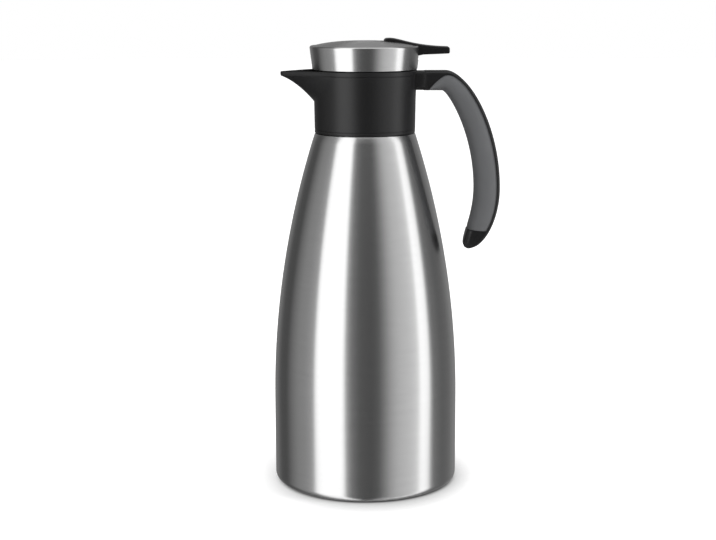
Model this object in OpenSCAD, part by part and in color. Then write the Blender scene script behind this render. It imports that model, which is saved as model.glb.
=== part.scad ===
// Vacuum jug with a pouring spout, a side handle and a screw-in press-lever stopper.
// Millimetres. +Z is up. The origin is on the body's axis, on the surface it stands on.
// The spout points along -X and the handle along +X.

/* [Body] */
// Outside diameter of the steel body
body_d = 124.8; // [112:0.2:140]
// Height at which the straight lower part of the body ends
straight_h = 57; // [40:1:90]
// Height of the top edge of the tapered shoulder
shoulder_h = 239.2; // [215:0.2:265]
// Outside diameter of the shoulder's top edge
shoulder_d = 67.2; // [66.6:0.1:68]
// Wall of the outer shell
outer_wall = 0.6; // [0.4:0.1:0.9]
// Wall of the inner vessel
inner_wall = 0.5; // [0.4:0.1:0.8]
// Vacuum space between the two walls
vacuum_gap = 7; // [5:0.5:10]
// Radius of the bottom edge
bottom_r = 4; // [3:0.5:6]
// Width of the flat ring that the jug stands on
foot_w = 3.4; // [2.4:0.2:5]
// Height of the inner vessel's floor above the table
vessel_floor_h = 10; // [9:0.5:16]
// Radius of the inner vessel's bottom edge
vessel_corner_r = 12; // [8:1:18]

/* [Neck] */
// Width of the step from the shoulder in to the steel neck
neck_step = 3.1; // [2.6:0.1:4]
// Width of the steel lip between the neck's outside and the mouth
lip_w = 4; // [3:0.1:5]
// Height of the steel neck above the shoulder
neck_h = 12.8; // [11.5:0.1:14]
// Thickness of the gasket on the lip
gasket_t = 1.2; // [0.8:0.1:2]

/* [Collar] */
// Height of the black collar
collar_h = 42.1; // [40:0.1:46]
// How much wider the collar is at its top rim than at its foot, on each side
collar_flare = 1.35; // [0.4:0.05:3]
// How much narrower the screwed bore is than the steel neck, on each side
bore_step = 2; // [1.6:0.1:2.6]
// Height of the screwed part of the bore
bore_h = 12.8; // [10:0.2:15]
// Wall of the collar round the pouring chamber
chamber_wall = 3; // [2:0.1:4]
// Reach of the spout's tip from the collar's rim
spout_reach = 22; // [16:0.5:30]
// Height of the blunt front of the spout
spout_front_h = 4.3; // [3:0.1:7]
// Height of the spout's underside, from where it leaves the collar to the blunt front
spout_rise = 20.7; // [17:0.1:22]
// Radius of the spout's tip, seen from above
spout_tip_r = 3.5; // [3:0.1:5]
// Wall of the spout
spout_wall = 2; // [1.6:0.1:2.4]

/* [Handle] */
// Distance from the collar's rim to the outermost point of the handle
handle_reach = 55.9; // [50:0.1:64]
// Thickness of the handle at its outermost point
handle_t = 17.8; // [14:0.1:20]
// Height from the outermost point up to the handle's top
handle_rise = 79; // [70:0.5:90]
// Height from the outermost point down to the tip
handle_tail = 42.5; // [36:0.5:50]
// Height of the handle's root where it meets the collar
root_h = 13.4; // [12.6:0.1:15]
// Length of the level top before the handle curves down
root_len = 18.9; // [17:0.1:22]
// Width of the handle at its root
root_w = 20; // [18:0.5:22]
// Width of the handle where the hand closes round it
handle_w = 24; // [21:0.5:28]
// Width of the handle at its tip
tip_w = 8; // [6:0.5:12]
// Thickness of the soft grip
grip_t = 3; // [2:0.1:4]
// Thickness of the hard strip left along the outer edge
strip_t = 2.6; // [2.2:0.1:4]

/* [Stopper] */
// Wall of the stopper's neck
stopper_wall = 2.4; // [1.8:0.1:3]
// Thickness of the stopper's deck
deck_t = 2.5; // [2:0.1:3.2]
// Height of the pouring windows
window_h = 11; // [8:0.5:12]
// Width of each pouring window
window_w = 14; // [8:0.5:18]
// Number of pouring windows
windows = 6; // [4:1:6]
// Depth of the plug below the lip
plug_depth = 12; // [10:0.5:14]
// Height of the silicone ring
ring_h = 4; // [3:0.1:5]
// Diameter of the opening that the valve closes
valve_hole_d = 19; // [16:0.5:22]
// Diameter of the valve plate
valve_d = 25; // [24:0.5:30]
// Diameter of the valve stem
stem_d = 4; // [3.4:0.1:4.4]
// Diameter of the cross pin in the stem
cross_pin_d = 2.4; // [2:0.1:2.6]
// Mean radius of the valve spring
spring_r = 5.5; // [5.2:0.1:6.5]
// Diameter of the spring's wire
wire_d = 1; // [0.8:0.1:1.2]
// Number of turns of the spring
spring_turns = 8; // [6:1:9]

/* [Cap] */
// Height of the steel cap
cap_h = 18.3; // [18:0.1:21]
// How much narrower the cap's bottom edge is than the collar's rim, on each side
cap_step = 0.2; // [0:0.05:0.6]
// How much wider the cap is at its shoulder, on each side
cap_flare = 1.6; // [0.8:0.1:2]
// Height of the cap's domed top
dome_h = 4; // [3.4:0.1:5]
// Wall of the cap
cap_wall = 0.8; // [0.6:0.1:1]

/* [Lever] */
// Width of the press lever
lever_w = 12; // [10:0.2:14]
// Distance of the lever's pivot from the valve's stem
pivot_x = 24; // [22.5:0.1:25]
// Reach of the lever's outer end past the collar's rim
lever_reach = 21.6; // [15:0.2:25]
// Thickness of the lever's outer end
lever_end_t = 4.8; // [4.2:0.1:5.2]
// Diameter of the lever's pin
lever_pin_d = 3; // [2.6:0.1:3.4]
// Travel of the lever in degrees
lever_travel = 13.5; // [8:0.5:14]

/* [Fits] */
// Gap between pieces that move past each other
gap = 0.3; // [0.25:0.01:0.35]
// Gap round a pin or stem that turns or slides in a bore
running_gap = 0.1; // [0.05:0.01:0.1]
// Gap round a piece that is held still in another
seat_gap = 0.05; // [0.03:0.01:0.1]

/* [Hidden] */
$fn = 96;
STEEL = [0.76, 0.77, 0.78];
BLACK = [0.10, 0.10, 0.11];
GREY = [0.38, 0.39, 0.41];
SILICONE = [0.80, 0.80, 0.78];

// Body: the side is a cylinder, then one arc that is tangent to it.
body_r = body_d / 2;
side_steps = 20;
side_drop = body_r - shoulder_d / 2;
side_rise = shoulder_h - straight_h;
side_r = (side_drop * side_drop + side_rise * side_rise) / (2 * side_drop);
lip_z = shoulder_h + neck_h;
neck_r = shoulder_d / 2 - neck_step;
mouth_r = neck_r - lip_w;
vessel_inset = outer_wall + vacuum_gap;
vessel_r = body_r - vessel_inset;
foot_r = body_r - bottom_r;
bottom_plate_z = 5;
bottom_plate_t = 0.6;
bottom_flange_h = 4;
cover_z = 1;
cover_t = 1.5;
cover_gap = 0.4;
cover_edge = 0.8;
cover_ring_t = 2;
cover_ring_inset = 4.6;
dimple_r = 3.5;
getter_r = 6;

// Collar and spout.
collar_z = shoulder_h + gap;
rim_z = collar_z + collar_h;
collar_bottom_r = shoulder_d / 2 + 0.05;
collar_mid_h = collar_h * 0.5;
collar_mid_r = collar_bottom_r + 0.35;
collar_rim_r = collar_bottom_r + collar_flare;
collar_edge = 0.6;
// Fine lines cut round the collar: height, depth, and distance from its lower and upper edges.
line_h = 0.6;
line_d = 0.25;
low_line = 2.2;
high_line = 3.2;
bore_r = neck_r - bore_step;
bore_z = lip_z + gasket_t;
chamber_z = bore_z + bore_h;
chamber_r = collar_rim_r - chamber_wall;
spout_tip_x = collar_rim_r + spout_reach;
spout_steps = 14;
spout_top_z = rim_z - gap;
spout_front_z = spout_top_z - spout_front_h;
spout_root_z = spout_front_z - spout_rise;
spout_sunk = 0.6;
spout_root_tip_r = 12;
channel_start = 0.4;
spout_line = [
    [collar_bottom_r + 0.2, spout_root_z],
    [collar_bottom_r + 0.2, spout_root_z + spout_rise * 0.3],
    [spout_tip_x - spout_reach * 0.41, spout_front_z - spout_rise * 0.22],
    [spout_tip_x, spout_front_z]
];

// Handle: outer and inner outlines are pairs of curves that share a parameter s.
// s runs 0 to 1 along the root, 1 to 2 down to the outermost point and 2 to 3 to the tip.
handle_z = rim_z - 2 * gap;
handle_x = collar_rim_r + handle_reach;
waist_z = handle_z - handle_rise;
grip_x = handle_x - handle_t;
root_x = collar_rim_r - 2;
root_end_x = collar_rim_r + root_len;
root_low_z = handle_z - root_h;
tip_z = waist_z - handle_tail;
root_top = [root_x, handle_z];
root_under = [root_x, root_low_z];
outer_bend = 14;
inner_bend = 4.2;
inner_back = 3.2;
inner_drop = 1.5;
tip_outer = 20;
tip_outer_pull = [13.7, 6.5];
tip_inner = 3.3;
tip_inner_pull = [-7.4, 1.4];
tip_t = 1.4;
outer_upper = [
    [root_end_x, handle_z],
    [root_end_x + outer_bend, handle_z],
    [handle_x, waist_z + handle_rise * 0.504],
    [handle_x, waist_z]
];
inner_upper = [
    [root_end_x - inner_back, root_low_z - inner_drop],
    [root_end_x - inner_back + inner_bend, root_low_z - inner_drop],
    [grip_x, waist_z + handle_rise * 0.478],
    [grip_x, waist_z]
];
outer_lower = [
    [handle_x, waist_z],
    [handle_x, waist_z - handle_tail * 0.525],
    [handle_x - tip_outer, tip_z] + tip_outer_pull,
    [handle_x - tip_outer, tip_z]
];
inner_lower = [
    [grip_x, waist_z],
    [grip_x, waist_z - handle_tail * 0.551],
    [grip_x - tip_inner, tip_z + tip_t] + tip_inner_pull,
    [grip_x - tip_inner, tip_z + tip_t]
];
grip_start = 0.5;
grip_full = 1.15;
grip_end = 2.5;
grip_proud = 0.25;
strip_corner_r = 2;
grip_corner_r = 6;
core_corner_r = 4;
wide_s = 1.8;
tongue_x = collar_rim_r + 11;
tongue_w = 12;
tongue_h = 6.5;
tongue_z = root_low_z + 3.4;
screw_x = collar_rim_r + 5;
screw_r = 1.5;
screw_head_r = 3;
screw_head_t = 1.7;
screw_wall = 1.1;
screw_bite = 5;

// Stopper.
deck_z = rim_z + gap;
deck_top_z = deck_z + deck_t;
deck_lip_t = 0.3;
stopper_r = bore_r - gap;
stopper_z = bore_z + 0.8;
stopper_in_r = stopper_r - stopper_wall;
window_z = deck_z - 2.9 - window_h;
plug_z = lip_z - plug_depth;
plug_floor_t = 2.7;
plug_wall = 1.8;
plug_r = mouth_r - 2.1;
plug_flange_r = mouth_r - gap;
ring_in_r = plug_r + gap;
ring_out_r = mouth_r - gap;
groove_h = ring_h + 2 * gap;
groove_z = stopper_z - 3.8 - groove_h;
groove_flange_t = 2;
spigot_h = 6;
spigot_r = stopper_in_r - seat_gap;
guide_r = 4.4;
guide_h = 9.9;
stem_r = stem_d / 2;
stem_hole_r = stem_r + running_gap;
seal_t = 1.5;
valve_seal_z = plug_z + plug_floor_t + gap;
valve_z = valve_seal_z + seal_t;
valve_t = 2.5;
valve_boss_r = 6.9;
hub_r = 7;
hub_h = 3;
spring_low_z = valve_z + valve_t + hub_h;
spring_high_z = deck_z;
spring_rings = 8;
spring_sides = 6;

// Lever and cap.
pivot_z = deck_top_z + 5.6;
lever_pin_r = lever_pin_d / 2;
lever_boss_r = lever_pin_r + 1.9;
ear_t = 3;
ear_r = 3.3;
lever_pin_l = lever_w + 2 * (gap + ear_t) + 0.4;
arm_t = 4.8;
fork_gap = 6;
fork_end = 4.4;
cross_pin_r = cross_pin_d / 2;
cross_pin_l = lever_w - 3;
stem_top_z = pivot_z + 3.5;
valve_lift = pivot_x * sin(lever_travel);
cap_z = deck_z + deck_lip_t;
cap_top_z = cap_z + cap_h;
cap_r = collar_rim_r - cap_step;
cap_shoulder_r = cap_r + cap_flare;
cap_edge_r = 1.5;
dome_r = cap_shoulder_r - cap_edge_r;
dome_z = cap_top_z - dome_h;
dome_power = 2.8;
dome_steps = 14;
slot_x = pivot_x - 13.4;
slot_w = lever_w + 0.8;
notch_z = cap_z + 5.6;
nose_r = 2.2;
nose_x = pivot_x - 9.8;
nose_z = cap_top_z - 0.1;
end_r = lever_end_t / 2;
end_x = collar_rim_r + lever_reach - end_r;
end_z = cap_top_z - 6.1;
lever_low_z = cap_z + 9;
lever_steps = 12;

// Curves, blends and lofts.

// A point on a cubic curve with control points p.
function curve(p, t) =
    pow(1 - t, 3) * p[0] + 3 * t * pow(1 - t, 2) * p[1] + 3 * t * t * (1 - t) * p[2] + pow(t, 3) * p[3];

// A value that eases from a to b as t goes from 0 to 1.
function ease(a, b, t) = a + (b - a) * (1 - cos(180 * min(1, max(0, t)))) / 2;

// Radius of the body at height z, moved inwards by inset.
function side_at(z, inset) =
    z <= straight_h ? body_r - inset
    : body_r - side_r + sqrt(pow(side_r - inset, 2) - pow(z - straight_h, 2));

// Height at which the inset side has the radius r.
function side_height(r, inset) = straight_h + sqrt(pow(side_r - inset, 2) - pow(r - body_r + side_r, 2));

// Points up the side from z0 to z1.
function side_points(z0, z1, inset) =
    [for (i = [0:side_steps]) let (z = z0 + (z1 - z0) * i / side_steps) [side_at(z, inset), z]];

// Points of a quarter circle, centre c, from angle a0 to a1.
function arc(c, r, a0, a1, steps) =
    [for (i = [0:steps]) let (a = a0 + (a1 - a0) * i / steps) c + r * [cos(a), sin(a)]];

function reversed(p) = [for (i = [len(p) - 1:-1:0]) p[i]];

function flipped(p) = [for (q = reversed(p)) [q[0], -q[1]]];

// A solid through rings of points. All rings have the same number of points.
module loft(rings) {
    n = len(rings[0]);
    last = len(rings) - 1;
    points = [for (ring = rings) for (p = ring) p];
    low_cap = [[for (k = [0:n - 1]) k]];
    high_cap = [[for (k = [n - 1:-1:0]) last * n + k]];
    sides = [
        for (i = [0:last - 1]) for (k = [0:n - 1])
            let (a = i * n + k, b = i * n + (k + 1) % n)
                each [[a, a + n, b + n], [a, b + n, b]]
    ];
    polyhedron(points = points, faces = concat(low_cap, sides, high_cap), convexity = 8);
}

// Body pieces.

module outer_shell() {
    neck_top = lip_z - outer_wall;
    outside = concat(
        [[foot_r - foot_w, 0]],
        arc([foot_r, bottom_r], bottom_r, -90, 0, 8),
        side_points(straight_h, shoulder_h, 0),
        [[neck_r, shoulder_h], [neck_r, neck_top]]
    );
    inside = concat(
        [[neck_r - outer_wall, neck_top], [neck_r - outer_wall, shoulder_h - outer_wall]],
        reversed(side_points(straight_h, shoulder_h - outer_wall, outer_wall)),
        arc([foot_r, bottom_r], bottom_r - outer_wall, 0, -90, 8),
        [[foot_r - foot_w, outer_wall]]
    );
    color(STEEL) rotate_extrude() polygon(concat(outside, inside));
}

module shell_bottom() {
    rim_r = body_r - outer_wall;
    plate_top = bottom_plate_z + bottom_plate_t;
    color(STEEL)
        rotate_extrude()
            polygon([
                [0, bottom_plate_z], [rim_r, bottom_plate_z], [rim_r, plate_top + bottom_flange_h],
                [rim_r - bottom_plate_t, plate_top + bottom_flange_h], [rim_r - bottom_plate_t, plate_top],
                [0, plate_top]
            ]);
}

// The bead that closes the pumping hole in the shell's bottom.
module vacuum_seal() {
    color(GREY) translate([0, 0, bottom_plate_z - 1]) cylinder(r = dimple_r, h = 1);
}

module base_cover() {
    cover_r = foot_r - foot_w - cover_gap;
    ring_out_r = cover_r - cover_ring_inset + cover_ring_t;
    ring_in_r = cover_r - cover_ring_inset;
    top = cover_z + cover_t;
    color(BLACK)
        rotate_extrude()
            polygon([
                [0, cover_z], [cover_r - cover_edge, cover_z], [cover_r, cover_z + cover_edge], [cover_r, top],
                [ring_out_r, top], [ring_out_r, bottom_plate_z], [ring_in_r, bottom_plate_z], [ring_in_r, top],
                [0, top]
            ]);
}

module inner_vessel() {
    inner_inset = vessel_inset + inner_wall;
    corner = [vessel_r - vessel_corner_r, vessel_floor_h + vessel_corner_r];
    outer_neck_r = mouth_r + inner_wall;
    outside = concat(
        [[0, vessel_floor_h]],
        arc(corner, vessel_corner_r, -90, 0, 8),
        side_points(straight_h, side_height(outer_neck_r, vessel_inset), vessel_inset),
        [[outer_neck_r, lip_z - outer_wall], [neck_r, lip_z - outer_wall], [neck_r, lip_z]]
    );
    inside = concat(
        [[mouth_r, lip_z]],
        reversed(side_points(straight_h, side_height(mouth_r, inner_inset), inner_inset)),
        arc(corner, vessel_corner_r - inner_wall, 0, -90, 8),
        [[0, vessel_floor_h + inner_wall]]
    );
    color(STEEL) rotate_extrude() polygon(concat(outside, inside));
}

// The pill under the vessel that soaks up stray gas.
module getter() {
    color(GREY) translate([0, 0, vessel_floor_h - 2]) cylinder(r = getter_r, h = 2);
}

module neck_gasket() {
    color(SILICONE)
        translate([0, 0, lip_z])
            difference() {
                cylinder(r = neck_r - 0.2, h = gasket_t);
                translate([0, 0, -1]) cylinder(r = bore_r, h = gasket_t + 2);
            }
}

// Collar with the spout.

// One level of the spout: a circle about the axis and a small one at the tip, joined by tangents.
function spout_ring(big_r, tip_x, tip_r, z) =
    let (
        lean = asin(min(1, (big_r - tip_r) / (tip_x - tip_r))),
        spread = 90 - lean,
        back = spread + 12,
        half = concat(
            [(big_r - 1.5) * [-cos(back), sin(back)], big_r * [-cos(spread), sin(spread)]],
            [for (i = [0:5]) let (a = spread * (1 - i / 6)) [-(tip_x - tip_r) - tip_r * cos(a), tip_r * sin(a)]]
        )
    )
    [for (p = concat(half, [[-tip_x, 0]], flipped(half))) [p[0], p[1], z]];

module spout_outside() {
    big_r = collar_bottom_r - spout_sunk;
    rings = [
        for (i = [0:spout_steps])
            let (t = i / spout_steps, p = curve(spout_line, t))
                spout_ring(big_r, p[0], spout_root_tip_r + (spout_tip_r - spout_root_tip_r) * t, p[1])
    ];
    loft(concat(
        [spout_ring(big_r, collar_bottom_r - spout_sunk / 2, spout_root_tip_r, spout_root_z - 2)],
        rings,
        [spout_ring(big_r, spout_tip_x, spout_tip_r, spout_top_z)]
    ));
}

module spout_channel() {
    big_r = chamber_r - 0.2;
    low_tip_r = 6;
    tip_r = spout_tip_r - 1.5;
    rings = [
        for (i = [0:spout_steps])
            let (
                s = i / spout_steps,
                t = channel_start + (1 - channel_start) * s,
                p = curve(spout_line, t),
                z = i == 0 ? chamber_z : p[1] + spout_wall
            )
            spout_ring(big_r, p[0] - spout_wall, low_tip_r + (tip_r - low_tip_r) * s, z)
    ];
    loft(concat(rings, [spout_ring(big_r, spout_tip_x - spout_wall, tip_r, rim_z + 1)]));
}

// Outside radius of the collar at height z.
function collar_at(z) = lookup(z, [
    [collar_z + collar_edge, collar_bottom_r], [collar_z + collar_mid_h, collar_mid_r],
    [rim_z - 2 * collar_edge, collar_rim_r]
]);

// A fine line cut round the collar, from its lower edge to its upper one.
function line_at(z) = [
    [collar_at(z - line_h / 2), z - line_h / 2], [collar_at(z) - line_d, z],
    [collar_at(z + line_h / 2), z + line_h / 2]
];

module collar() {
    sleeve_r = neck_r + gap;
    profile = [
        [sleeve_r, collar_z], [collar_bottom_r - collar_edge, collar_z],
        [collar_bottom_r, collar_z + collar_edge], each line_at(collar_z + low_line),
        [collar_mid_r, collar_z + collar_mid_h], each line_at(rim_z - high_line),
        [collar_rim_r, rim_z - 2 * collar_edge], [collar_rim_r - collar_edge, rim_z],
        [chamber_r, rim_z], [chamber_r, chamber_z], [bore_r, chamber_z], [bore_r, bore_z],
        [sleeve_r, bore_z]
    ];
    color(BLACK)
        difference() {
            union() {
                rotate_extrude() polygon(profile);
                difference() {
                    spout_outside();
                    translate([0, 0, collar_z - 1]) cylinder(r = chamber_r + 0.6, h = collar_h + 2);
                }
                translate([chamber_r + 0.8, -tongue_w / 2, tongue_z])
                    cube([tongue_x - chamber_r - 0.8, tongue_w, tongue_h]);
            }
            spout_channel();
            translate([screw_x, 0, tongue_z - 1]) cylinder(r = screw_r + seat_gap, h = screw_bite + 1.2);
        }
}

// Handle.

function outer_at(s) =
    s <= 1 ? root_top + (outer_upper[0] - root_top) * s
    : s <= 2 ? curve(outer_upper, s - 1) : curve(outer_lower, s - 2);

function inner_at(s) =
    s <= 1 ? root_under + (inner_upper[0] - root_under) * s
    : s <= 2 ? curve(inner_upper, s - 1) : curve(inner_lower, s - 2);

function width_at(s) =
    s <= wide_s ? ease(root_w, handle_w, (s - 0.8) / (wide_s - 0.8))
    : handle_w - (handle_w - tip_w) * pow((s - wide_s) / (3 - wide_s), 2.2);

function depth_at(s) = norm(outer_at(s) - inner_at(s));

// Depth of the soft grip, from the inner side of the handle outwards.
function grip_depth(s) = (depth_at(s) - strip_t) * sin(90 * min(1, (s - grip_start) / (grip_full - grip_start)));

// Places a ring of [depth, side] points on the handle's section at s.
function on_handle(s, ring) =
    let (low = inner_at(s), dir = (outer_at(s) - low) / depth_at(s))
        [for (p = ring) [low[0] + dir[0] * p[0], p[1], low[1] + dir[1] * p[0]]];

// Half of the hard core's section: a web under the grip and a strip outside it.
function core_half(s, gripped) =
    let (
        t = depth_at(s),
        side = width_at(s) / 2,
        outer_r = min(strip_corner_r, t / 3, side / 2),
        b = grip_depth(s),
        cover = gripped ? min(grip_t, 0.6 * b) : 0,
        r = gripped ? min(core_corner_r - 2, (b - cover) / 2) : min(core_corner_r, t / 3, side / 2),
        step = gripped ? [b, b] : [t / 2 - 0.1 * t, t / 2]
    )
    concat(
        [for (a = [0:30:90]) [cover + r - r * cos(a), side - cover - r + r * sin(a)]],
        [[step[0], side - cover], [step[1], side]],
        [for (a = [0:30:90]) [t - outer_r + outer_r * sin(a), side - outer_r + outer_r * cos(a)]]
    );

function core_ring(s, gripped) = let (half = core_half(s, gripped)) on_handle(s, concat(half, flipped(half)));

// The grip's section wraps the web on three sides.
function grip_ring(s) =
    let (
        side = width_at(s) / 2 + grip_proud,
        b = grip_depth(s) - seat_gap,
        cover = min(grip_t, 0.6 * grip_depth(s)),
        outer_r = min(grip_corner_r, 0.8 * (b + grip_proud), side / 2),
        r = min(core_corner_r - 2, (grip_depth(s) - cover) / 2),
        web = width_at(s) / 2 - cover + seat_gap,
        half = concat(
            [for (a = [0:18:90]) [-grip_proud + outer_r - outer_r * cos(a), side - outer_r + outer_r * sin(a)]],
            [[b, side], [b, web]],
            [for (a = [90:-30:0]) [cover - seat_gap + r - r * cos(a), web - r + r * sin(a)]]
        )
    )
    on_handle(s, concat(half, flipped(half)));

grip_first = grip_start + 0.06;
grip_stations = [for (i = [0:26]) grip_first + (grip_end - grip_first) * i / 26];
tail_stations = [for (i = [0:7]) grip_end + 0.01 + (3 - grip_end - 0.01) * i / 7];

module handle_core() {
    rings = concat(
        [core_ring(0, false), core_ring(grip_start / 2, false), core_ring(grip_first - 0.01, false)],
        [for (s = grip_stations) core_ring(s, true)],
        [for (s = tail_stations) core_ring(s, false)]
    );
    socket_w = tongue_w + 2 * seat_gap;
    head_top = tongue_z - seat_gap - screw_wall;
    below_z = root_low_z - root_h / 2;
    color(BLACK)
        difference() {
            loft(rings);
            translate([0, 0, below_z]) cylinder(r = collar_rim_r + seat_gap, h = 2 * root_h);
            translate([0, -socket_w / 2, tongue_z - seat_gap])
                cube([tongue_x + gap, socket_w, tongue_h + 2 * seat_gap]);
            translate([screw_x, 0, below_z]) cylinder(r = screw_r + running_gap, h = tongue_z - below_z);
            translate([screw_x, 0, below_z]) cylinder(r = screw_head_r + gap, h = head_top - below_z);
        }
}

module soft_grip() {
    color(GREY) loft([for (s = grip_stations) grip_ring(s)]);
}

module handle_screw() {
    head_top = tongue_z - seat_gap - screw_wall;
    color(STEEL)
        translate([screw_x, 0, head_top - screw_head_t])
            difference() {
                union() {
                    cylinder(r = screw_head_r, h = screw_head_t);
                    cylinder(r = screw_r, h = screw_head_t + screw_wall + screw_bite);
                }
                translate([0, 0, -1]) cylinder(r = 1.2, h = 2, $fn = 6);
            }
}

// Stopper, from the sealing ring inwards.

module tube(r_in, r_out, z0, z1) {
    translate([0, 0, z0])
        difference() {
            cylinder(r = r_out, h = z1 - z0);
            translate([0, 0, -1]) cylinder(r = r_in, h = z1 - z0 + 2);
        }
}

module lid_seal() {
    z = groove_z + gap;
    waist = 0.5;
    color(SILICONE)
        rotate_extrude()
            polygon([
                [ring_in_r, z], [ring_out_r - waist, z], [ring_out_r, z + waist], [ring_out_r - waist, z + ring_h / 2],
                [ring_out_r, z + ring_h - waist], [ring_out_r - waist, z + ring_h], [ring_in_r, z + ring_h]
            ]);
}

module stopper_cup() {
    color(BLACK)
        rotate_extrude()
            polygon([
                [valve_hole_d / 2, plug_z], [plug_r - 1, plug_z], [plug_r, plug_z + 1],
                [plug_r, groove_z - groove_flange_t], [plug_r + 1.4, groove_z - groove_flange_t],
                [plug_r + 1.4, groove_z], [plug_r, groove_z], [plug_r, groove_z + groove_h],
                [plug_flange_r, groove_z + groove_h], [plug_flange_r, stopper_z], [spigot_r, stopper_z],
                [spigot_r, stopper_z + spigot_h], [plug_r - plug_wall, stopper_z + spigot_h],
                [plug_r - plug_wall, plug_z + plug_floor_t], [valve_hole_d / 2, plug_z + plug_floor_t]
            ]);
}

module lid_body() {
    color(BLACK)
        difference() {
            union() {
                translate([0, 0, deck_z]) cylinder(r = cap_r - cap_wall - seat_gap, h = deck_t);
                translate([0, 0, deck_z]) cylinder(r = cap_r, h = deck_lip_t);
                tube(stopper_in_r, stopper_r, stopper_z, deck_z);
                translate([0, 0, deck_z - guide_h]) cylinder(r = guide_r, h = guide_h);
                for (side = [-1, 1]) lever_ear(side);
            }
            translate([0, 0, deck_z - guide_h - 1]) cylinder(r = stem_hole_r, h = guide_h + deck_t + 2);
            crossbar(pivot_x, pivot_z, lever_pin_r + seat_gap, 2 * lever_w);
            for (i = [0:windows - 1])
                rotate(180 + i * 360 / windows)
                    translate([stopper_in_r - 4, -window_w / 2, window_z])
                        cube([stopper_wall + 8, window_w, window_h]);
        }
}

module lever_ear(side) {
    y = side * (lever_w / 2 + gap + ear_t / 2);
    translate([pivot_x, y, pivot_z]) rotate([90, 0, 0]) cylinder(r = ear_r, h = ear_t, center = true);
    translate([pivot_x - ear_r, y - ear_t / 2, deck_top_z - 0.5])
        cube([2 * ear_r, ear_t, pivot_z - deck_top_z + 0.5]);
}

module stem_seal() {
    color(SILICONE) tube(stem_r + gap, guide_r, deck_top_z, deck_top_z + seal_t);
}

module lever_pin() {
    color(STEEL) crossbar(pivot_x, pivot_z, lever_pin_r, lever_pin_l);
}

// The spring is one unbroken tube that follows a helix.
function coil_at(u) =
    let (
        a = 360 * spring_turns * u,
        rise = spring_high_z - spring_low_z - wire_d - 2 * seat_gap
    )
    [spring_r * cos(a), spring_r * sin(a), spring_low_z + wire_d / 2 + seat_gap + rise * u];

spring_pitch = (spring_high_z - spring_low_z - wire_d - 2 * seat_gap) / spring_turns;
spring_count = spring_turns * spring_rings;
spring_points = [for (i = [0:spring_count]) coil_at(i / spring_count)];
spring_clear = min([
    for (i = [0:spring_count - spring_rings]) norm(spring_points[i + spring_rings] - spring_points[i])
]) - wire_d;
echo(least_spring_gap = spring_clear);

module valve_spring() {
    slope = atan2(spring_pitch, 2 * PI * spring_r);
    rings = [
        for (i = [0:spring_count])
            let (
                a = 360 * spring_turns * i / spring_count,
                out = [cos(a), sin(a), 0],
                up = [sin(a) * sin(slope), -cos(a) * sin(slope), cos(slope)]
            )
            [
                for (k = [0:spring_sides - 1])
                    let (b = 360 * k / spring_sides)
                        spring_points[i] + wire_d / 2 * (out * cos(b) + up * sin(b))
            ]
    ];
    color(STEEL) loft(rings);
}

// Cap and lever.

function dome_at(r) = dome_z + dome_h * (1 - pow(r / dome_r, dome_power));

module lid_cap() {
    edge = [dome_r, dome_z - cap_edge_r + 0.2];
    outside = concat(
        [[cap_r, cap_z], [cap_shoulder_r, edge[1]]],
        arc(edge, cap_edge_r, 15, 75, 4),
        [for (i = [0:dome_steps]) let (r = (dome_r - 1) * (1 - i / dome_steps)) [r, dome_at(r)]]
    );
    inside = [for (p = reversed(outside)) [max(0, p[0] - cap_wall), p[1] - (p[1] > edge[1] ? cap_wall : 0)]];
    skirt = [for (p = inside) if (p[0] > 0 || p[1] > edge[1]) p];
    color(STEEL)
        difference() {
            rotate_extrude() polygon(concat(outside, skirt));
            translate([slot_x, -slot_w / 2, edge[1] - 2]) cube([cap_shoulder_r, slot_w, cap_h]);
            translate([cap_r - 8, -slot_w / 2, notch_z]) cube([12, slot_w, cap_h]);
        }
}

module lever_side() {
    top = [
        [nose_x, nose_z + nose_r], [nose_x + 9, nose_z + nose_r - 2], [end_x - 16, end_z + end_r + 0.5],
        [end_x, end_z + end_r]
    ];
    polygon(concat(
        [for (i = [0:lever_steps]) curve(top, i / lever_steps)],
        [
            [end_x, end_z - end_r], [cap_shoulder_r + 2, lever_low_z], [pivot_x + 2, lever_low_z - 3],
            [pivot_x, pivot_z - arm_t / 2], [-fork_end, pivot_z - arm_t / 2], [-fork_end, pivot_z + arm_t / 2],
            [nose_x - nose_r, pivot_z + arm_t / 2], [nose_x - nose_r, nose_z]
        ]
    ));
}

// A round bar or hole across the lever, at a place seen from the side.
module crossbar(x, z, r, l) {
    translate([x, 0, z]) rotate([90, 0, 0]) cylinder(r = r, h = l, center = true);
}

module lever() {
    drift = pivot_x * (1 / cos(lever_travel) - 1);
    slot_r = cross_pin_r + gap;
    through = 2 * lever_w;
    color(BLACK)
        difference() {
            union() {
                translate([0, lever_w / 2, 0]) rotate([90, 0, 0]) linear_extrude(lever_w) lever_side();
                crossbar(nose_x, nose_z, nose_r, lever_w);
                crossbar(end_x, end_z, end_r, lever_w);
                crossbar(pivot_x, pivot_z, lever_boss_r, lever_w);
            }
            crossbar(pivot_x, pivot_z, lever_pin_r + running_gap, through);
            translate([-fork_end - 1, -fork_gap / 2, pivot_z - arm_t])
                cube([fork_end + 1 + stem_r + 3, fork_gap, 2 * arm_t]);
            crossbar(-drift, pivot_z, slot_r, through);
            crossbar(0, pivot_z, slot_r, through);
            translate([-drift, -lever_w, pivot_z - slot_r]) cube([drift, through, 2 * slot_r]);
        }
}

// Valve.

module valve_stem() {
    color(STEEL)
        difference() {
            translate([0, 0, valve_z - 1]) cylinder(r = stem_r, h = stem_top_z - valve_z + 1);
            crossbar(0, pivot_z, cross_pin_r, 4 * stem_d);
        }
}

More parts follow.
